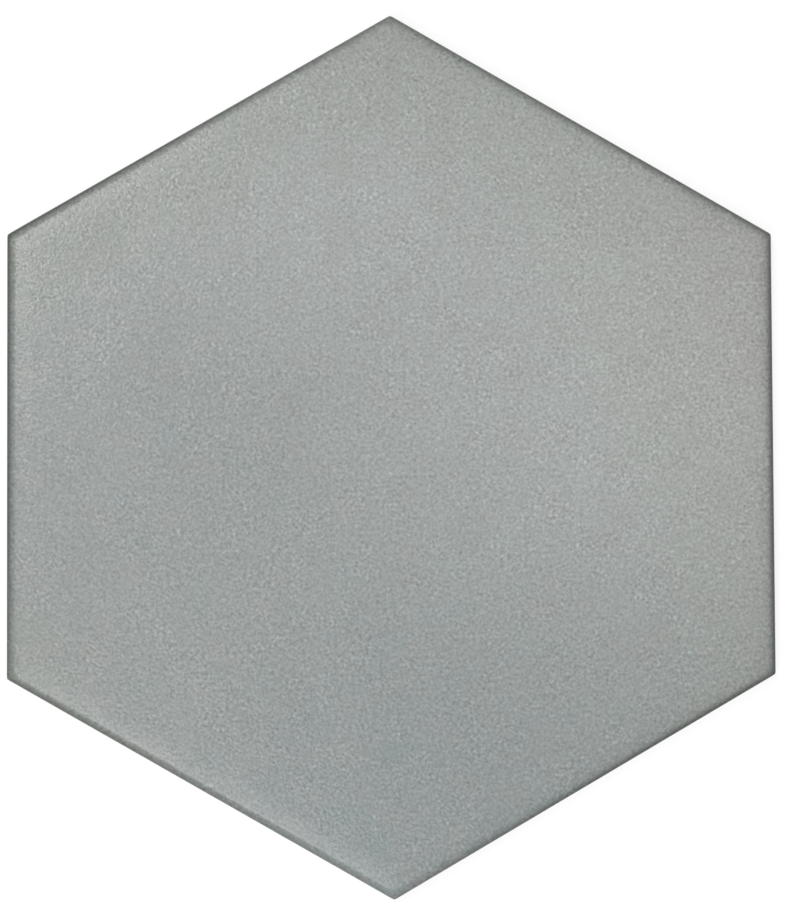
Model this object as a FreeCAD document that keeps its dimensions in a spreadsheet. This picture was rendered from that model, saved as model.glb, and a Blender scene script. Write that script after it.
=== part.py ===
import FreeCAD, Part
import math
import os

import Sketcher

# A pressed stoneware floor tile: a regular hexagon with a matt face, a softly rolled
# rim, sides that draw out a little towards the bottom, and a honeycomb key on its back.
# Origin: middle of the back, +Z up through the face. Two corners point along +Y and -Y.

# Driving sizes: name, millimetres or degrees, and what it is

SIZES = [
    ("across_flats", 200.0, "flat to flat, where the sides are widest"),
    ("thickness", 9.0, "back ribs to face"),
    ("corner_radius", 0.6, "rounding of the six upright corners"),
    ("side_draft", 1.5, "degrees that each side leans in towards the face"),
    ("foot_chamfer", 0.3, "bevel round the back"),
    ("camber_width", 5.0, "outer band of the face, which falls gently"),
    ("camber_drop", 0.15, "fall of that band"),
    ("roll_width", 2.8, "rolled rim, from the camber out to the widest line of the side"),
    ("roll_drop", 1.9, "fall of the rolled rim, arris and all"),
    ("arris_radius", 0.5, "rounding where the rolled rim turns into the side"),
    ("cell_pitch", 16.0, "middle to middle of two key cells"),
    ("rib_width", 3.0, "back rib between two cells, where it meets the bed"),
    ("cell_depth", 0.8, "depth of a key cell"),
    ("cell_draft", 20.0, "degrees that a cell's walls lean"),
    ("back_margin", 7.0, "least plain band between the cells and the sides"),
]

SIDES = 6
LEVEL = 1e-5  # millimetres that a level edge may rise

doc = FreeCAD.newDocument("hexagon_floor_tile")
sheet = doc.addObject("Spreadsheet::Sheet", "sizes")
for row, (alias, value, note) in enumerate(SIZES, start=1):
    sheet.set(f"A{row}", alias)
    sheet.set(f"B{row}", str(value))
    sheet.set(f"C{row}", note)
    sheet.setAlias(f"B{row}", alias)
doc.recompute()


def size(alias):
    return float(getattr(sheet, alias))


# Body and sketch helpers

START, END, CENTRE = range(1, 4)  # how a sketch names the points of a line or an arc
ORIGIN = (-1, START)
LEVEL_AXIS = -1
UPWARD = FreeCAD.Vector(0, 0, 1)


def point(x, y):
    return FreeCAD.Vector(x, y, 0)


def on_turn(radius, degrees):
    return point(radius * math.cos(math.radians(degrees)), radius * math.sin(math.radians(degrees)))


def new_body(name):
    body = doc.addObject("PartDesign::Body", name)
    body.Label = name
    body.Placement = FreeCAD.Placement(FreeCAD.Vector(0, 0, 0), FreeCAD.Rotation())
    return body


def base_plane(body, role):
    return next(f for f in body.Origin.OriginFeatures if f.Role == role)


def new_sketch(body, name, role):
    sketch = body.newObject("Sketcher::SketchObject", name)
    sketch.AttachmentSupport = (base_plane(body, role), "")
    sketch.MapMode = "FlatFace"
    return sketch


def tie(sketch, kind, *where):
    sketch.addConstraint(Sketcher.Constraint(kind, *where))


def dimension(sketch, name, formula, value, kind, *where):
    """Adds a dimension to a sketch and ties it to a formula on the sheet."""
    index = sketch.addConstraint(Sketcher.Constraint(kind, *where, value))
    sketch.renameConstraint(index, name)
    sketch.setExpression(f"Constraints.{name}", formula)


def regular_hexagon(sketch, reach, formula, first_corner, second_side):
    """Draws six equal sides inside a construction circle round the origin, with the
    second side set Horizontal or Vertical."""
    corners = [on_turn(reach, first_corner + k * 360 / SIDES) for k in range(SIDES)]
    sides = [
        sketch.addGeometry(Part.LineSegment(a, b))
        for a, b in zip(corners, corners[1:] + corners[:1])
    ]
    circle = sketch.addGeometry(Part.Circle(point(0, 0), UPWARD, reach), True)
    for side, after in zip(sides, sides[1:] + sides[:1]):
        tie(sketch, "Coincident", side, END, after, START)
        tie(sketch, "PointOnObject", side, START, circle)
    for side in sides[1:]:
        tie(sketch, "Equal", sides[0], side)
    tie(sketch, second_side, sides[1])
    tie(sketch, "Coincident", circle, CENTRE, *ORIGIN)
    dimension(sketch, "reach", formula, reach, "Radius", circle)


# Helpers that pick faces and edges, and lean the sides of a straight block inwards

def names_of(kind, elements, test):
    return [f"{kind}{k}" for k, element in enumerate(elements, start=1) if test(element)]


def is_side(face):
    return abs(face.normalAt(0, 0).z) < 0.5


def is_upright(edge):
    return edge.BoundBox.ZLength > size("thickness") / 2


def is_at_foot(edge):
    return edge.BoundBox.ZMax < LEVEL


def draft_sides(body, name, block, formula):
    draft = body.newObject("PartDesign::Draft", name)
    draft.Base = (block, names_of("Face", block.Shape.Faces, is_side))
    draft.NeutralPlane = (base_plane(body, "XY_Plane"), [""])
    draft.PullDirection = (base_plane(body, "Z_Axis"), [""])
    draft.setExpression("Angle", formula)
    body.Tip = draft
    doc.recompute()
    if draft.Shape.Volume >= block.Shape.Volume:
        raise RuntimeError(f"{name} leans outwards")
    return draft


# The pressed blank: a hexagonal slab, its sides drafted from the foot up and its upright
# corners eased

flat_to_corner = math.cos(math.pi / SIDES)
lean = math.tan(math.radians(size("side_draft")))
half_width = size("across_flats") / 2
foot_out = half_width + size("foot_chamfer") * lean

LEAN = "tan(sizes.side_draft * 1 deg)"
FOOT_OUT = f"(sizes.across_flats / 2 + sizes.foot_chamfer * {LEAN})"

tile = new_body("hexagon_tile")
outline = new_sketch(tile, "outline", "XY_Plane")
regular_hexagon(
    outline, foot_out / flat_to_corner, f"{FOOT_OUT} / cos(30 deg)", 90.0, "Vertical"
)
slab = tile.newObject("PartDesign::Pad", "slab")
slab.Profile = outline
slab.setExpression("Length", "sizes.thickness")
doc.recompute()

drafted = draft_sides(tile, "drafted_sides", slab, "sizes.side_draft")
corners = tile.newObject("PartDesign::Fillet", "upright_corners")
corners.Base = (drafted, names_of("Edge", drafted.Shape.Edges, is_upright))
corners.setExpression("Radius", "sizes.corner_radius")
doc.recompute()

# The rim's section: the face cambers, rolls over and turns into the side

top = size("thickness")
roll_start = half_width - size("roll_width")
camber_start = roll_start - size("camber_width")
shoulder = top - size("camber_drop")
rim_foot = shoulder - size("roll_drop")
rim_out = foot_out - rim_foot * lean
clear = size("roll_width")

camber_tilt = 2 * math.atan(size("camber_drop") / size("camber_width"))
side_tilt = math.radians(90.0 - size("side_draft"))


def roll_at(tilt):
    """Radius of a roll that stops at this tilt, and how far roll and arris fall."""
    arris = size("arris_radius")
    across = rim_out - roll_start - arris * (math.sin(side_tilt) - math.sin(tilt))
    radius = across / (math.sin(tilt) - math.sin(camber_tilt))
    fall = radius * (math.cos(camber_tilt) - math.cos(tilt))
    return radius, fall + arris * (math.cos(tilt) - math.cos(side_tilt))


HALVINGS = 50
gentle, steep = camber_tilt, side_tilt
for _ in range(HALVINGS):
    roll_tilt = (gentle + steep) / 2
    roll_radius, fall = roll_at(roll_tilt)
    if fall < size("roll_drop"):
        gentle = roll_tilt
    else:
        steep = roll_tilt


def arc_ending(at_x, at_y, radius, end_tilt, from_tilt, to_tilt):
    """An arc over the rim that passes a point at one tilt, from one tilt to another."""
    middle = point(at_x - radius * math.sin(end_tilt), at_y - radius * math.cos(end_tilt))
    circle = Part.Circle(middle, UPWARD, radius)
    return Part.ArcOfCircle(circle, math.pi / 2 - to_tilt, math.pi / 2 - from_tilt)


camber_radius = size("camber_width") / math.sin(camber_tilt)
cutter = new_body("rim_cutter")
rim = new_sketch(cutter, "rim_section", "XZ_Plane")
camber = rim.addGeometry(
    arc_ending(camber_start, top, camber_radius, 0.0, 0.0, camber_tilt)
)
roll = rim.addGeometry(
    arc_ending(roll_start, shoulder, roll_radius, camber_tilt, camber_tilt, roll_tilt)
)
arris = rim.addGeometry(
    arc_ending(rim_out, rim_foot, size("arris_radius"), side_tilt, roll_tilt, side_tilt)
)
bounds = [
    point(rim_out, rim_foot),
    point(rim_out + clear, rim_foot),
    point(rim_out + clear, top + clear),
    point(camber_start, top + clear),
    point(camber_start, top),
]
below, beyond, above, inside = [
    rim.addGeometry(Part.LineSegment(a, b)) for a, b in zip(bounds, bounds[1:])
]
side_line = rim.addGeometry(
    Part.LineSegment(point(foot_out, 0), point(rim_out, rim_foot)), True
)

tie(rim, "Tangent", camber, START, roll, END)
tie(rim, "Tangent", roll, START, arris, END)
tie(rim, "Tangent", arris, START, side_line, END)
tie(rim, "Vertical", camber, CENTRE, camber, END)
tie(rim, "Coincident", arris, START, below, START)
tie(rim, "Coincident", below, END, beyond, START)
tie(rim, "Coincident", beyond, END, above, START)
tie(rim, "Coincident", above, END, inside, START)
tie(rim, "Coincident", inside, END, camber, END)
tie(rim, "Horizontal", below)
tie(rim, "Vertical", beyond)
tie(rim, "Horizontal", above)
tie(rim, "Vertical", inside)
tie(rim, "PointOnObject", side_line, START, LEVEL_AXIS)

ROLL_START = "(sizes.across_flats / 2 - sizes.roll_width)"
SHOULDER = "(sizes.thickness - sizes.camber_drop)"
RIM_FOOT = f"({SHOULDER} - sizes.roll_drop)"


def place(name, across, at_x, up, at_y, *where):
    """Ties one point of the rim's section to the sheet, across and up from the origin."""
    dimension(rim, f"{name}_across", across, at_x, "DistanceX", *ORIGIN, *where)
    dimension(rim, f"{name}_up", up, at_y, "DistanceY", *ORIGIN, *where)


place(
    "camber_start", f"{ROLL_START} - sizes.camber_width", camber_start,
    "sizes.thickness", top, camber, END,
)
place("roll_start", ROLL_START, roll_start, SHOULDER, shoulder, roll, END)
place("rim_foot", f"{FOOT_OUT} - {RIM_FOOT} * {LEAN}", rim_out, RIM_FOOT, rim_foot, arris, START)
dimension(rim, "foot_out", FOOT_OUT, foot_out, "DistanceX", *ORIGIN, side_line, START)
dimension(rim, "arris_radius", "sizes.arris_radius", size("arris_radius"), "Radius", arris)
dimension(rim, "clear_out", "sizes.roll_width", clear, "DistanceX", below, START, below, END)
dimension(rim, "clear_up", "sizes.roll_width", clear, "DistanceY", inside, END, inside, START)
doc.recompute()

# A bar of that section runs past the corners along one side. Six such bars make a frame
# with mitred corners, and the frame cuts the rim of all six sides at once.

bar = cutter.newObject("PartDesign::Pad", "bar_along_a_side")
bar.Profile = rim
bar.SideType = "Symmetric"
bar.setExpression("Length", "sizes.across_flats")
doc.recompute()

bars = cutter.newObject("PartDesign::PolarPattern", "bars_round_the_rim")
bars.Originals = [bar]
bars.Axis = (base_plane(cutter, "Z_Axis"), [""])
bars.Angle = 360.0
bars.Occurrences = SIDES
cutter.Tip = bars
doc.recompute()

rolled_rim = tile.newObject("PartDesign::Boolean", "rolled_rim")
rolled_rim.Type = "Cut"
rolled_rim.Group = [cutter]
tile.Tip = rolled_rim
doc.recompute()

foot_bevel = tile.newObject("PartDesign::Chamfer", "foot_bevel")
foot_bevel.Base = (rolled_rim, names_of("Edge", rolled_rim.Shape.Edges, is_at_foot))
foot_bevel.setExpression("Size", "sizes.foot_chamfer")
tile.Tip = foot_bevel
doc.recompute()

# The key on the back: a honeycomb of shallow drafted cells, as many rings of them round
# the middle cell as leave the plain band its width. A stamp carries one stud for each
# cell. Its first stud is repeated outwards and sideways over a third of the honeycomb,
# and that third is turned round twice.

pitch = size("cell_pitch")
cell_out = (pitch - size("rib_width")) / 2
cell_reach = cell_out / flat_to_corner
room = half_width - size("back_margin") - cell_reach
rings = int(room // (pitch * flat_to_corner))
THIRDS = 3

stamp = new_body("key_stamp")
stamp.AllowCompound = True

stud_outline = new_sketch(stamp, "stud_outline", "XY_Plane")
regular_hexagon(
    stud_outline, cell_reach, "(sizes.cell_pitch - sizes.rib_width) / 2 / cos(30 deg)",
    0.0, "Horizontal",
)
stud = stamp.newObject("PartDesign::Pad", "stud")
stud.Profile = stud_outline
stud.setExpression("Length", "sizes.cell_depth")
doc.recompute()
leaning_stud = draft_sides(stamp, "leaning_stud", stud, "sizes.cell_draft")

outwards = doc.addObject("PartDesign::LinearPattern", "studs_outwards")
outwards.Direction = (base_plane(stamp, "Y_Axis"), [""])
outwards.setExpression("Length", f"sizes.cell_pitch * {rings}")
outwards.Occurrences = rings + 1

slant = new_sketch(stamp, "sideways_line", "XY_Plane")
slant_line = slant.addGeometry(Part.LineSegment(point(0, 0), on_turn(pitch, -30)))
tie(slant, "Coincident", slant_line, START, *ORIGIN)
dimension(slant, "slant_length", "sizes.cell_pitch", pitch, "Distance", slant_line)
dimension(slant, "slant_angle", "-30 deg", -math.pi / SIDES, "Angle", slant_line)
doc.recompute()

sideways = doc.addObject("PartDesign::LinearPattern", "studs_sideways")
sideways.Direction = (slant, ["Edge1"])
sideways.setExpression("Length", f"sizes.cell_pitch * {rings}")
sideways.Occurrences = rings + 1

around = doc.addObject("PartDesign::PolarPattern", "studs_around")
around.Axis = (base_plane(stamp, "Z_Axis"), [""])
around.Angle = 360.0
around.Occurrences = THIRDS

studs = stamp.newObject("PartDesign::MultiTransform", "studs")
studs.TransformMode = "Whole shape"
studs.Refine = False
studs.Transformations = [outwards, sideways, around]
stamp.Tip = studs
doc.recompute()

key = tile.newObject("PartDesign::Boolean", "honeycomb_key")
key.Type = "Cut"
key.Group = [stamp]
key.Refine = False
tile.Tip = key
doc.recompute()

# Checks on the finished tile, then its file

SLACK = 0.001  # share by which a measured volume may miss its sum


def compare(what, measured, summed):
    if abs(measured - summed) > SLACK * summed:
        raise RuntimeError(f"{what} took {measured:.1f} mm3, not {summed:.1f}")


cells = 1 + THIRDS * rings * (rings + 1)
compare("the key", foot_bevel.Shape.Volume - key.Shape.Volume, cells * leaning_stud.Shape.Volume)

one_side = corners.Shape.common(bar.Shape).Volume
all_sides = corners.Shape.Volume - rolled_rim.Shape.Volume
if not SIDES - 1 < all_sides / one_side < SIDES:
    raise RuntimeError(f"the rim took {all_sides:.1f} mm3 at {one_side:.1f} mm3 a side")

for item in doc.Objects:
    faults = [state for state in item.State if state in ("Invalid", "Error")]
    if faults:
        raise RuntimeError(f"{item.Name} is marked {faults}")
if tile.Shape.isNull() or not tile.Shape.isValid() or len(tile.Shape.Solids) != 1:
    raise RuntimeError("the tile isn't one sound solid")
print(f"{cells} cells, {tile.Shape.Volume / 1000:.1f} cm3, {len(tile.Shape.Faces)} faces")

os.makedirs("parts", exist_ok=True)
tile.Shape.exportStep("parts/hexagon_tile.step")
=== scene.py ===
import math

import bmesh
import bpy
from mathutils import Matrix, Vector


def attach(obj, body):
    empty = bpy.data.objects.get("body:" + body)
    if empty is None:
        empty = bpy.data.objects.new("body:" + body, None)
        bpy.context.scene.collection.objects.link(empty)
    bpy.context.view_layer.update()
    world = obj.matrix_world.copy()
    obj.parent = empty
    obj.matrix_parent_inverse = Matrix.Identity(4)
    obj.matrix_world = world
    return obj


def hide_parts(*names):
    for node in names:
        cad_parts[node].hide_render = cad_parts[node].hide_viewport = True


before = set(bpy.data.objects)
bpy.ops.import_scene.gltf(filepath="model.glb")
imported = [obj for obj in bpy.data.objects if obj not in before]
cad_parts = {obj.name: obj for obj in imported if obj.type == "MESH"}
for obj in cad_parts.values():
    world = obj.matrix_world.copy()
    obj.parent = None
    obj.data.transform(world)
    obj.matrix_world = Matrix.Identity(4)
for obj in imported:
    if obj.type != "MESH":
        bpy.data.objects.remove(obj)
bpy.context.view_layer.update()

mm = 0.001
sixth = math.radians(60)             # a sixth of a full turn
flatToCorner = math.cos(sixth / 2)   # a hexagon's half width over its reach to a corner
centre = (0, 0, 0)
touching = 0.001 * mm                # points closer than this are one


def clearSelection():
    bpy.ops.object.select_all(action="DESELECT")


def makeActive(piece):
    piece.select_set(True)
    bpy.context.view_layer.objects.active = piece


def openEdit(piece, mode="FACE"):
    clearSelection()
    makeActive(piece)
    bpy.ops.object.mode_set(mode="EDIT")
    bpy.ops.mesh.select_mode(type=mode)


def closeEdit():
    bpy.ops.object.mode_set(mode="OBJECT")


def pickEdges(piece, test):
    # selects the edges that pass a test, in edit mode
    bpy.ops.mesh.select_all(action="DESELECT")
    mesh = bmesh.from_edit_mesh(piece.data)
    for edge in mesh.edges:
        edge.select_set(test(edge))
    bmesh.update_edit_mesh(piece.data)


# The pressed tile: a level face that cambers, rolls over and turns into drafted sides

tileForm = {
    "acrossFlats": 199.998 * mm,  # a hair inside the solid's 200
    "thickness": 9 * mm,
    "sideDraft": math.radians(1.5),
    "footBevel": 0.3 * mm,
    "camberWidth": 5 * mm,
    "camberDrop": 0.15 * mm,
    "rollWidth": 2.8 * mm,
    "rollDrop": 1.9 * mm,
    "arrisRadius": 0.5 * mm,
    "outerCorner": 0.6 * mm,  # rounding of the upright corners
    "innerCorner": 5 * mm,    # rounding of the rim's inner line at the corners
    "faceSteps": 148,         # mesh steps along a side of the face, a multiple of 4
    "cornerSteps": 10,        # steps beside a corner that its rounding may move
    "camberSteps": 5,
    "rollSteps": 10,
    "arrisSteps": 3,
    "sideSteps": 3,
}


def arcSteps(end, bend, fromTilt, toTilt, steps):
    # places along an arc of the section that stops at one place with the tilt toTilt
    out = end[0] - bend * math.sin(toTilt)
    up = end[1] - bend * math.cos(toTilt)
    tilts = [fromTilt + (toTilt - fromTilt) * step / steps for step in range(1, steps + 1)]
    return [(out + bend * math.sin(tilt), up + bend * math.cos(tilt)) for tilt in tilts]


def rimSection(form):
    # from the level face outwards and down, each place as (distance from the middle, height)
    lean = math.tan(form["sideDraft"])
    footOut = form["acrossFlats"] / 2 + form["footBevel"] * lean
    rollStart = form["acrossFlats"] / 2 - form["rollWidth"]
    camberStart = rollStart - form["camberWidth"]
    shoulder = form["thickness"] - form["camberDrop"]
    rimFoot = shoulder - form["rollDrop"]
    rimOut = footOut - rimFoot * lean
    small = form["arrisRadius"]
    camberTilt = 2 * math.atan(form["camberDrop"] / form["camberWidth"])
    sideTilt = math.pi / 2 - form["sideDraft"]
    gentle, steep = camberTilt, sideTilt
    for halving in range(40):  # the tilt at which roll and arris together fall by rollDrop
        tilt = (gentle + steep) / 2
        across = rimOut - rollStart - small * (math.sin(sideTilt) - math.sin(tilt))
        bend = across / (math.sin(tilt) - math.sin(camberTilt))
        fall = bend * (math.cos(camberTilt) - math.cos(tilt))
        if fall + small * (math.cos(tilt) - math.cos(sideTilt)) < form["rollDrop"]:
            gentle = tilt
        else:
            steep = tilt
    arrisStart = (rimOut - small * (math.sin(sideTilt) - math.sin(tilt)),
                  rimFoot + small * (math.cos(tilt) - math.cos(sideTilt)))
    section = arcSteps((rollStart, shoulder), form["camberWidth"] / math.sin(camberTilt),
                       0, camberTilt, form["camberSteps"])
    section += arcSteps(arrisStart, bend, camberTilt, tilt, form["rollSteps"])
    section += arcSteps((rimOut, rimFoot), small, tilt, sideTilt, form["arrisSteps"])
    for step in range(1, form["sideSteps"] + 1):
        height = rimFoot + (form["footBevel"] - rimFoot) * step / form["sideSteps"]
        section.append((footOut - height * lean, height))
    section.append((footOut - form["footBevel"], 0))
    return camberStart, section


def cornerEase(along, radius):
    # how far a point on a side, this far from the sharp corner, moves in to the rounding
    if along >= radius * math.tan(sixth / 2):
        return 0
    return radius / flatToCorner - (along + math.sqrt(4 * radius**2 - 3 * along**2)) / 2


def roundCorners(piece, form, out, before, after):
    # slides the selected ring's points beside the six corners towards the middle, from one
    # rounding to another; all points that are equally far from a corner move together
    mesh = bmesh.from_edit_mesh(piece.data)
    ring = [point for point in mesh.verts if point.select]
    sameTurn = sixth / form["faceSteps"] / 8
    for step in range(form["cornerSteps"]):
        share = step / form["faceSteps"]
        along = 2 * out * math.tan(sixth / 2) * share
        ease = cornerEase(along, after) - cornerEase(along, before)
        if abs(ease) < touching / 10:
            continue
        turn = sixth / 2 - math.atan((1 - 2 * share) * math.tan(sixth / 2))
        bpy.ops.mesh.select_all(action="DESELECT")
        for point in ring:
            angle = math.atan2(point.co.x, point.co.y) % sixth
            if abs(min(angle, sixth - angle) - turn) < sameTurn:
                point.select_set(True)
        keep = 1 - ease / math.hypot(out, out * math.tan(sixth / 2 - turn))
        bpy.ops.transform.resize(value=(keep, keep, 1), center_override=centre)
    for point in ring:
        point.select_set(True)
    mesh.select_flush(True)
    bmesh.update_edit_mesh(piece.data)


def pressTile(form):
    clearSelection()
    camberStart, section = rimSection(form)
    bpy.ops.mesh.primitive_circle_add(vertices=6, radius=camberStart / flatToCorner,
                                      fill_type="TRIFAN")
    tile = bpy.context.active_object
    tile.name = "pressedTile"
    openEdit(tile, "VERT")
    bpy.ops.mesh.select_all(action="SELECT")
    bpy.ops.transform.translate(value=(0, 0, form["thickness"]))
    bpy.ops.mesh.subdivide(number_cuts=3)  # into quarters, and then each quarter
    bpy.ops.mesh.subdivide(number_cuts=form["faceSteps"] // 4 - 1)
    bpy.ops.mesh.region_to_loop()
    wide, high, rounding = camberStart, form["thickness"], 0
    sideTop = form["thickness"] - form["camberDrop"] - form["rollDrop"]
    for out, up in section:
        bpy.ops.mesh.extrude_edges_move()
        bpy.ops.transform.translate(value=(0, 0, up - high))
        bpy.ops.transform.resize(value=(out / wide, out / wide, 1), center_override=centre)
        share = (out - camberStart) / (form["acrossFlats"] / 2 - camberStart)
        wanted = form["outerCorner"]
        if up > sideTop + touching:  # on the rim, softest halfway across it
            wanted += (form["innerCorner"] - wanted) * math.sin(math.pi * min(share, 1))
        roundCorners(tile, form, out, rounding * out / wide, wanted)
        wide, high, rounding = out, up, wanted
    closeEdit()
    return tile


# Slow waves that pressing and firing leave in the face

waveForm = {
    "waves": [(24 * mm, 0.16 * mm), (4 * mm, 0.035 * mm)],  # length and depth
    "fullAbove": 8.9 * mm,  # height from which the waves have their full depth
    "noneBelow": 8.4 * mm,
}


def waveFace(tile, form):
    reach = tile.vertex_groups.new(name="waves")
    for point in tile.data.vertices:
        rise = (point.co.z - form["noneBelow"]) / (form["fullAbove"] - form["noneBelow"])
        if rise > 0:
            reach.add([point.index], min(rise, 1), "REPLACE")
    clearSelection()
    makeActive(tile)
    for length, depth in form["waves"]:
        waves = bpy.data.textures.new("pressedWaves", "CLOUDS")
        waves.noise_scale = length
        waves.noise_depth = 1
        press = tile.modifiers.new("waves", "DISPLACE")
        press.texture = waves
        press.texture_coords = "LOCAL"
        press.direction = "Z"
        press.mid_level = 1  # the waves only sink below the level of the face
        press.strength = depth
        press.vertex_group = reach.name
        bpy.ops.object.modifier_apply(modifier=press.name)


# The honeycomb key in the back: one cell, copied to every place of the honeycomb

keyForm = {
    "pitch": 16 * mm,
    "rib": 3 * mm,
    "depth": 0.8 * mm,
    "draft": math.radians(20),
    "rings": 6,            # of cells round the middle one
    "softEdge": 0.2 * mm,  # rounding along a rib and round a cell's bottom
    "cornerCut": 0.8 * mm,
}


def keyCell(form):
    lean = math.tan(form["draft"])
    soft = form["softEdge"]
    mouth = (form["pitch"] - form["rib"]) / 2
    clearSelection()
    bpy.ops.mesh.primitive_circle_add(vertices=6, radius=(mouth + soft) / flatToCorner,
                                      fill_type="NGON")
    cell = bpy.context.active_object
    cell.name = "keyCell"
    openEdit(cell, "VERT")
    bpy.ops.mesh.select_all(action="SELECT")
    bpy.ops.transform.rotate(value=sixth / 2, orient_axis="Z", center_override=centre)
    bpy.ops.mesh.bevel(offset=form["cornerCut"], segments=1, affect="VERTICES")
    bpy.ops.mesh.select_mode(type="FACE")
    bpy.ops.mesh.select_all(action="SELECT")
    wall = form["depth"] - 2 * soft  # a soft step, the drafted wall, and a soft step again
    for narrower, deeper in ((soft * (1 + lean), soft), (wall * lean, wall), (soft, soft)):
        bpy.ops.mesh.inset(thickness=narrower)
        bpy.ops.transform.translate(value=(0, 0, deeper))
    closeEdit()
    return cell


def keyPlaces(form):
    # the middles of the cells, row by row
    rings = form["rings"]
    for row in range(-rings, rings + 1):
        for step in range(max(-rings, -rings - row), min(rings, rings - row) + 1):
            yield (row * flatToCorner * form["pitch"], (step + row / 2) * form["pitch"], 0)


def keyTheBack(tile, cell, form):
    clearSelection()
    cells = 0
    for place in keyPlaces(form):
        copy = cell.copy()
        copy.data = cell.data.copy()
        copy.location = place
        bpy.context.collection.objects.link(copy)
        copy.select_set(True)
        cells += 1
    makeActive(tile)
    bpy.ops.object.join()
    bpy.data.objects.remove(cell)
    openEdit(tile, "EDGE")
    pickEdges(tile, lambda edge: edge.is_boundary
              and max(end.co.z for end in edge.verts) < touching)
    bpy.ops.mesh.fill(use_beauty=True)  # the ribs and the margin, between foot and cells
    bpy.ops.mesh.select_all(action="SELECT")
    bpy.ops.mesh.remove_doubles(threshold=touching)
    bpy.ops.mesh.normals_make_consistent(inside=False)
    pickEdges(tile, lambda edge: not edge.is_manifold)
    loose = sum(edge.select for edge in bmesh.from_edit_mesh(tile.data).edges)
    closeEdit()
    print("key:", cells, "cells,", loose, "open edges")


tile = pressTile(tileForm)
print("tile pressed:", len(tile.data.polygons), "faces")
waveFace(tile, waveForm)
keyTheBack(tile, keyCell(keyForm), keyForm)
clearSelection()
makeActive(tile)
bpy.ops.object.shade_smooth_by_angle(angle=math.radians(30))
tile.data.calc_loop_triangles()
print("tile keyed:", len(tile.data.loop_triangles), "triangles")


# Material nodes

noiseSpan = (0.3, 0.7)  # where most of a noise node's values lie
wideSpan = (0.2, 0.8)   # and where all of them do


def addNode(tree, kind, feeds=None, **settings):
    # adds one node; feeds gives a socket's value, or the output that feeds it
    node = tree.nodes.new("ShaderNode" + kind)
    for name, value in settings.items():
        setattr(node, name, value)
    for socket, value in (feeds or {}).items():
        if isinstance(value, bpy.types.NodeSocket):
            tree.links.new(value, node.inputs[socket])
        else:
            node.inputs[socket].default_value = value
    return node


def newGroup(name, takes, gives):
    group = bpy.data.node_groups.new(name, "ShaderNodeTree")
    for label, kind in takes:
        group.interface.new_socket(name=label, in_out="INPUT", socket_type="NodeSocket" + kind)
    for label, kind in gives:
        group.interface.new_socket(name=label, in_out="OUTPUT", socket_type="NodeSocket" + kind)
    return group, group.nodes.new("NodeGroupInput"), group.nodes.new("NodeGroupOutput")


def addGroup(tree, group, feeds):
    return addNode(tree, "Group", feeds, node_tree=group)


def ramp(tree, value, fromMin, fromMax, toMin=0.0, toMax=1.0, soft=False):
    feeds = {"Value": value, "From Min": fromMin, "From Max": fromMax,
             "To Min": toMin, "To Max": toMax}
    kind = "SMOOTHSTEP" if soft else "LINEAR"
    return addNode(tree, "MapRange", feeds, interpolation_type=kind).outputs["Result"]


def sums(tree, operation, first, second=0.0):
    return addNode(tree, "Math", {0: first, 1: second}, operation=operation).outputs[0]


def times(tree, first, second):
    return sums(tree, "MULTIPLY", first, second)


def mix(tree, share, first, second):
    # mixes two numbers; a Mix node's number sockets are found by their place
    return addNode(tree, "Mix", {0: share, 2: first, 3: second}).outputs[0]


def blend(tree, share, first, second, mode="MIX"):
    # mixes two colours, whose sockets are found by their place too
    return addNode(tree, "Mix", {0: share, 6: first, 7: second}, data_type="RGBA",
                   blend_type=mode).outputs[2]


def noise(tree, place, scale, detail=0.0, rough=0.5):
    feeds = {"Vector": place, "Scale": scale, "Detail": detail, "Roughness": rough}
    return addNode(tree, "TexNoise", feeds).outputs["Fac"]


def heightOf(tree, place):
    return addNode(tree, "SeparateXYZ", {"Vector": place}).outputs["Z"]


def newMaterial(name):
    material = bpy.data.materials.new(name)
    material.use_nodes = True
    return material, material.node_tree, material.node_tree.nodes["Principled BSDF"]


def feedShader(tree, shader, tone, rough, relief, shine):
    bump = addNode(tree, "Bump", {"Height": relief, "Strength": 1.0, "Distance": 1.0})
    tree.links.new(tone, shader.inputs["Base Color"])
    tree.links.new(rough, shader.inputs["Roughness"])
    tree.links.new(bump.outputs["Normal"], shader.inputs["Normal"])
    shader.inputs["Specular IOR Level"].default_value = shine


grainForm = {
    "turn": (0.6, 0.3, 0.8),       # turns and shifts the bumps against the pits
    "shift": (0.31, 0.17, 0.05),
    "bumps": 1.35,                 # how many bumps go on one pit's length
    "speckles": 3.0,
    "patches": 0.15,               # and patches in which the grain is weaker or stronger
    "patchSpan": (0.82, 1.18),
}


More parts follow.
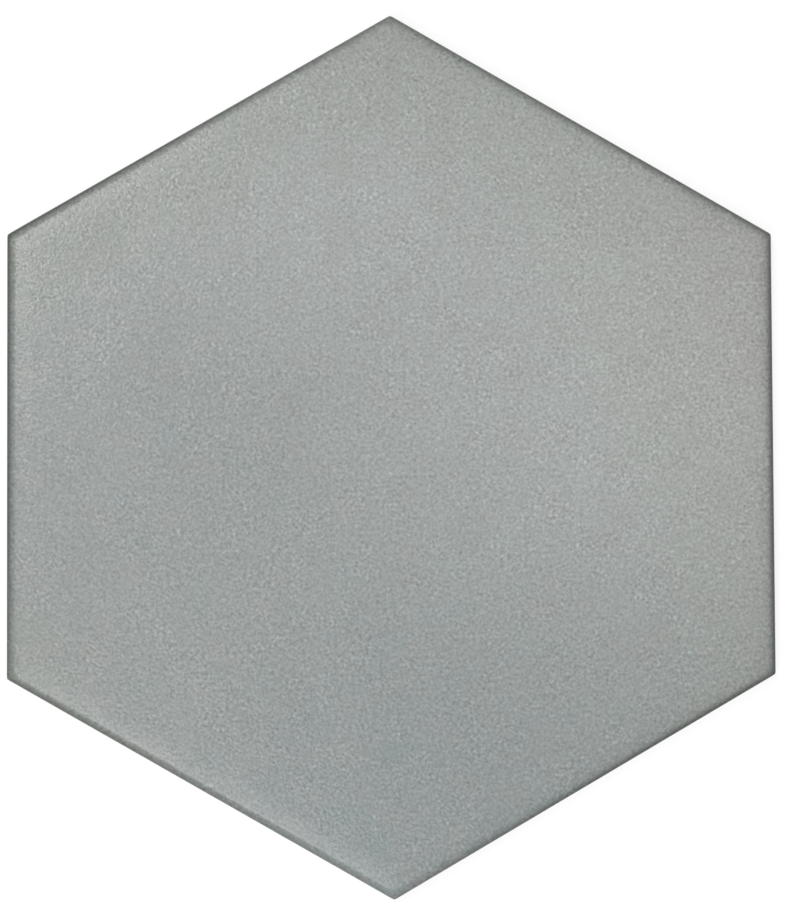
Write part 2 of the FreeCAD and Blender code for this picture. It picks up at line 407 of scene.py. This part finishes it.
def firedGrain(form):
    # the fine pitted skin of fired clay or matt glaze: its height in metres, how far it
    # rises or sinks from about -0.5 to 0.5, and a finer speckle
    group, takes, gives = newGroup(
        "firedGrain", [("Place", "Vector"), ("Size", "Float"), ("Depth", "Float")],
        [("Height", "Float"), ("Rise", "Float"), ("Speckle", "Float")])
    place = takes.outputs["Place"]
    scale = sums(group, "DIVIDE", 1.0, takes.outputs["Size"])
    turned = addNode(group, "Mapping", {"Vector": place, "Rotation": form["turn"],
                                        "Location": form["shift"]}).outputs["Vector"]
    pits = noise(group, place, scale)
    bumps = noise(group, turned, times(group, scale, form["bumps"]))
    grain = sums(group, "SUBTRACT", sums(group, "ADD", pits, bumps), 1.0)
    patches = noise(group, place, times(group, scale, form["patches"]))
    grain = times(group, grain, ramp(group, patches, *noiseSpan, *form["patchSpan"]))
    speckle = noise(group, turned, times(group, scale, form["speckles"]), detail=1.0)
    group.links.new(times(group, grain, takes.outputs["Depth"]), gives.inputs["Height"])
    group.links.new(grain, gives.inputs["Rise"])
    group.links.new(ramp(group, speckle, *noiseSpan), gives.inputs["Speckle"])
    return group


def softPatch():
    # one at the middle of a patch, fading to nought at its reach
    group, takes, gives = newGroup(
        "softPatch", [("Place", "Vector"), ("Middle", "Vector"), ("Reach", "Float")],
        [("Mask", "Float")])
    away = addNode(group, "VectorMath", {0: takes.outputs["Place"], 1: takes.outputs["Middle"]},
                   operation="DISTANCE").outputs["Value"]
    share = sums(group, "DIVIDE", away, takes.outputs["Reach"])
    group.links.new(ramp(group, share, 0.0, 1.0, 1.0, 0.0, soft=True), gives.inputs["Mask"])
    return group


clayFinish = {
    "upTo": 2 * mm,                     # height at which the glaze's material takes over
    "body": (0.33, 0.29, 0.24, 1),
    "drift": (30 * mm, 0.3),            # slow darkening: its size, and its most
    "grog": (0.16, 0.13, 0.1, 1),       # darker grains in the clay
    "grogSize": 1.1 * mm,
    "grogEdge": (0.16, 0.26),
    "grogShare": 0.6,
    "kilnWash": (0.62, 0.61, 0.58, 1),  # white powder that the kiln shelf leaves on the ribs
    "washBelow": 0.12 * mm,
    "washPatch": 14 * mm,
    "washEdge": (0.42, 0.58),
    "washWorn": (0.15, 0.6, 0.35, 1),   # the speckle it wears off by, and what it leaves
    "roughness": (0.72, 0.92),
    "shine": 0.3,
    "grainSize": 0.9 * mm,
    "grainDepth": 0.05 * mm,
}


def clayBody(form, grain):
    group, takes, gives = newGroup("clayBody", [("Place", "Vector")],
                                   [("Color", "Color"), ("Roughness", "Float"),
                                    ("Height", "Float")])
    place = takes.outputs["Place"]
    skin = addGroup(group, grain, {"Place": place, "Size": form["grainSize"],
                                   "Depth": form["grainDepth"]})
    driftSize, driftMost = form["drift"]
    drift = noise(group, place, 1 / driftSize, detail=2.0)
    drift = ramp(group, drift, *noiseSpan, 0.0, driftMost)
    tone = blend(group, drift, form["body"], form["grog"])
    grog = addNode(group, "TexVoronoi", {"Vector": place, "Scale": 1 / form["grogSize"]})
    grog = ramp(group, grog.outputs["Distance"], *form["grogEdge"], form["grogShare"], 0.0)
    tone = blend(group, grog, tone, form["grog"])

    low = ramp(group, heightOf(group, place), form["washBelow"], 0.0)
    patch = noise(group, place, 1 / form["washPatch"], detail=4.0, rough=0.65)
    wash = times(group, low, ramp(group, patch, *form["washEdge"]))
    wash = times(group, wash, ramp(group, skin.outputs["Speckle"], *form["washWorn"]))
    tone = blend(group, wash, tone, form["kilnWash"])
    rough = ramp(group, skin.outputs["Speckle"], 0.0, 1.0, *form["roughness"])
    group.links.new(tone, gives.inputs["Color"])
    group.links.new(rough, gives.inputs["Roughness"])
    group.links.new(skin.outputs["Height"], gives.inputs["Height"])
    return group


def bareStoneware(form, clay):
    material, tree, shader = newMaterial("bareStoneware")
    place = addNode(tree, "TexCoord").outputs["Object"]
    body = addGroup(tree, clay, {"Place": place}).outputs
    feedShader(tree, shader, body["Color"], body["Roughness"], body["Height"], form["shine"])
    return material


glazeFinish = {
    "plain": (0.283, 0.303, 0.270, 1),
    "patches": [  # slow drift of the tone, partly the glaze's own and partly painted light and shade: middle, reach, colour
        ((0.028, -0.008, 0.009), 0.136, (0.519, 0.550, 0.530, 1)),
        ((-0.006, 0.049, 0.009), 0.118, (0.430, 0.462, 0.451, 1)),
        ((-0.001, -0.098, 0.009), 0.164, (0.291, 0.337, 0.338, 1)),
        ((-0.070, 0.000, 0.009), 0.090, (0.329, 0.367, 0.362, 1)),
        ((0.212, 0.051, 0.009), 0.172, (0.525, 0.499, 0.505, 1)),
    ],
    "rose": (0.385, 0.365, 0.357, 1),     # small warmer flecks
    "roseSize": 9 * mm,
    "roseSpan": (0.3, 0.75, 0.0, 0.45),   # the noise they take, and their least and most
    "grainSize": 0.9 * mm,
    "grainDepth": 0.033 * mm,
    "grainPaintedShade": 0.25,                   # painted shade of the grain: how much paler its rises are than its pits
    "grainPeaks": 1.8,                    # how far single specks stand out from the grain
    "calmFrom": 8.8 * mm,                 # the grain gets flatter down the rim
    "calmTo": 7.2 * mm,
    "calmShare": 0.6,
    "roughness": (0.22, 0.3),
    "shine": 0.3,
    "shadeAxis": (0.259, 0.966, 0),            # the way along which the rim's painted shade changes
    "shadeAxisReach": 112 * mm,
    "shadeAxisFall": 2.75,                     # how fast its effect fades towards the middle
    "rimShadeBehind": (0.91, 0.89, 0.85, 1),   # painted shade over the rim on the side the axis points away from,
    "rimShadeAhead": (0.61, 0.63, 0.6, 1),     # over the rim on the side it points to,
    "rimShadeAcross": (0.26, 0.28, 0.25, 1),  # and over the others, all against the face
    # heights over which the rim's painted shade comes in
    "rimShadeFrom": 8.9 * mm,
    "rimShadeTo": 7.8 * mm,
    "sideTop": 7.3 * mm,                  # below it the rim's painted shade lessens and the glaze gets rougher
    "sideFade": 1.2 * mm,
    "sideRimShade": 0.35,
    "sideRoughness": 0.5,
    "runsTo": 4.2 * mm,                   # height at which the glaze ends on the sides
    "runsSize": 16 * mm,
    "runsWobble": 2.2 * mm,
    "runsEdge": 0.25 * mm,
    "edgeRoll": 0.08 * mm,                # how thick it stands there
}


def paintedRimShade(tree, place, height, side, form):
    # painted shade: what the face's tone is multiplied by over the rolled rim, where it turns
    # away from the light, changing along one axis across the tile
    alongAxis = addNode(tree, "VectorMath", {0: place, 1: form["shadeAxis"]},
                     operation="DOT_PRODUCT").outputs["Value"]
    axisShare = ramp(tree, sums(tree, "ABSOLUTE", alongAxis), 0.0, form["shadeAxisReach"])
    axisShare = sums(tree, "POWER", axisShare, form["shadeAxisFall"])
    ends = blend(tree, sums(tree, "GREATER_THAN", alongAxis), form["rimShadeBehind"], form["rimShadeAhead"])
    rimShadeShare = ramp(tree, height, form["rimShadeFrom"], form["rimShadeTo"])
    rimShadeShare = times(tree, rimShadeShare, ramp(tree, side, 0.0, 1.0, 1.0, form["sideRimShade"]))
    return rimShadeShare, blend(tree, axisShare, form["rimShadeAcross"], ends)


def mattGlaze(form, grain, patch, clay):
    material, tree, shader = newMaterial("mattGlaze")
    place = addNode(tree, "TexCoord").outputs["Object"]
    height = heightOf(tree, place)
    skin = addGroup(tree, grain, {"Place": place, "Size": form["grainSize"],
                                  "Depth": form["grainDepth"]}).outputs
    body = addGroup(tree, clay, {"Place": place}).outputs

    # soft patches of tone over the face: painted light and shade, together with the glaze's own
    # slow drift
    tone = form["plain"]
    for middle, reach, colour in form["patches"]:
        mask = addGroup(tree, patch, {"Place": place, "Middle": middle, "Reach": reach})
        tone = blend(tree, mask.outputs["Mask"], tone, colour)
    flecks = noise(tree, place, 1 / form["roseSize"], detail=2.0, rough=0.6)
    tone = blend(tree, ramp(tree, flecks, *form["roseSpan"]), tone, form["rose"])

    # painted shade of the grain's relief: its rises a little paler than its pits, and the
    # highest stand out as pale specks
    rise = sums(tree, "SINH", times(tree, skin["Rise"], form["grainPeaks"]))
    shade = sums(tree, "EXPONENT", times(tree, rise, form["grainPaintedShade"]))
    tone = blend(tree, 1.0, tone, shade, "MULTIPLY")

    # painted shade over the rolled rim, where it turns away from the light, lessening on the
    # sides, which are also rougher
    side = ramp(tree, height, form["sideTop"], form["sideTop"] - form["sideFade"], soft=True)
    rimShadeShare, rimShadeTone = paintedRimShade(tree, place, height, side, form)
    tone = blend(tree, rimShadeShare, tone, rimShadeTone, "MULTIPLY")
    rough = ramp(tree, skin["Speckle"], 0.0, 1.0, *form["roughness"])
    rough = mix(tree, side, rough, form["sideRoughness"])

    # its ragged lower edge on the sides, with bare clay below
    wobble = ramp(tree, noise(tree, place, 1 / form["runsSize"], detail=3.0), *wideSpan,
                  -form["runsWobble"], form["runsWobble"])
    covered = ramp(tree, sums(tree, "ADD", height, wobble), form["runsTo"],
                   form["runsTo"] + form["runsEdge"], soft=True)
    tone = blend(tree, covered, body["Color"], tone)
    rough = mix(tree, covered, body["Roughness"], rough)
    calm = ramp(tree, height, form["calmFrom"], form["calmTo"], 1.0, form["calmShare"])
    relief = times(tree, skin["Height"], calm)
    relief = sums(tree, "ADD", relief, times(tree, covered, form["edgeRoll"]))
    feedShader(tree, shader, tone, rough, relief, form["shine"])
    return material


grainGroup = firedGrain(grainForm)
patchGroup = softPatch()
clayGroup = clayBody(clayFinish, grainGroup)
tile.data.materials.clear()
tile.data.materials.append(mattGlaze(glazeFinish, grainGroup, patchGroup, clayGroup))
tile.data.materials.append(bareStoneware(clayFinish, clayGroup))
for face in tile.data.polygons:
    face.material_index = 0 if face.center.z > clayFinish["upTo"] else 1
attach(tile, "root")
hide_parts("hexagon_tile")
print("glaze and clay set")


# Pale floor, white to the camera apart from the tile's soft shadow

floorForm = {
    "width": 12,
    "below": 0.02 * mm,
    "tone": (0.2, 0.2, 0.2, 1),  # what the floor throws back onto the tile
    "roughness": 0.9,
    "lift": 0.86,                # glow that makes it white to the camera, not to the tile
}


def seenRays(tree):
    # one for a ray from the camera, a reflection or a see-through part
    rays = addNode(tree, "LightPath").outputs
    seen = sums(tree, "MAXIMUM", rays["Is Camera Ray"], rays["Is Glossy Ray"])
    return sums(tree, "MAXIMUM", seen, rays["Is Transmission Ray"])


def layFloor(form):
    clearSelection()
    bpy.ops.mesh.primitive_plane_add(size=form["width"], location=(0, 0, -form["below"]))
    floor = bpy.context.active_object
    floor.name = "floor"
    material, tree, shader = newMaterial("paleFloor")
    shader.inputs["Base Color"].default_value = form["tone"]
    shader.inputs["Roughness"].default_value = form["roughness"]
    shader.inputs["Specular IOR Level"].default_value = 0
    shader.inputs["Emission Color"].default_value = (1, 1, 1, 1)
    glow = times(tree, seenRays(tree), form["lift"])
    tree.links.new(glow, shader.inputs["Emission Strength"])
    floor.data.materials.append(material)


layFloor(floorForm)
print("floor laid")


# Soft studio light

lightForm = {
    "ambient": 0.05,
    "lamps": {  # place, width, watts; each one faces the middle of the tile
        "lowSoftbox": ((-0.569, -0.843, 2.284), 1.3, 29.2),
        "leftSoftbox": ((-0.717, 0.602, 2.318), 0.85, 21.4),
        "rightFill": ((0.592, 0.497, 2.378), 0.85, 3.7),
    },
}


def setLights(form):
    world = bpy.data.worlds.new("studio")
    bpy.context.scene.world = world
    world.use_nodes = True
    tree = world.node_tree
    sky = tree.nodes["Background"]
    sky.inputs["Color"].default_value = (1, 1, 1, 1)
    strength = ramp(tree, seenRays(tree), 0.0, 1.0, form["ambient"], 1.0)
    tree.links.new(strength, sky.inputs["Strength"])
    for name, (place, width, watts) in form["lamps"].items():
        clearSelection()
        bpy.ops.object.light_add(type="AREA", location=place)
        lamp = bpy.context.active_object
        lamp.name = name
        lamp.data.shape = "DISK"
        lamp.data.size = width
        lamp.data.energy = watts
        lamp.rotation_euler = (-Vector(place)).to_track_quat("-Z", "Y").to_euler()


setLights(lightForm)
print("lights set")


# The camera looks down on the tile, a little from below and left of its middle

cameraForm = {
    "place": (-0.01829074, -0.02203954, 0.59967236),
    "turn": (2.089938, -1.778033, -0.287553),  # degrees
    "lens": 89.8371,                           # millimetres, as the sensor's width is
    "sensor": 36,
}
clearSelection()
bpy.ops.object.camera_add(location=cameraForm["place"],
                          rotation=[math.radians(turn) for turn in cameraForm["turn"]])
camera = bpy.context.active_object
camera.data.sensor_width = cameraForm["sensor"]
camera.data.lens = cameraForm["lens"]
bpy.context.scene.camera = camera
bpy.context.scene.view_settings.view_transform = "Standard"
print("camera set")
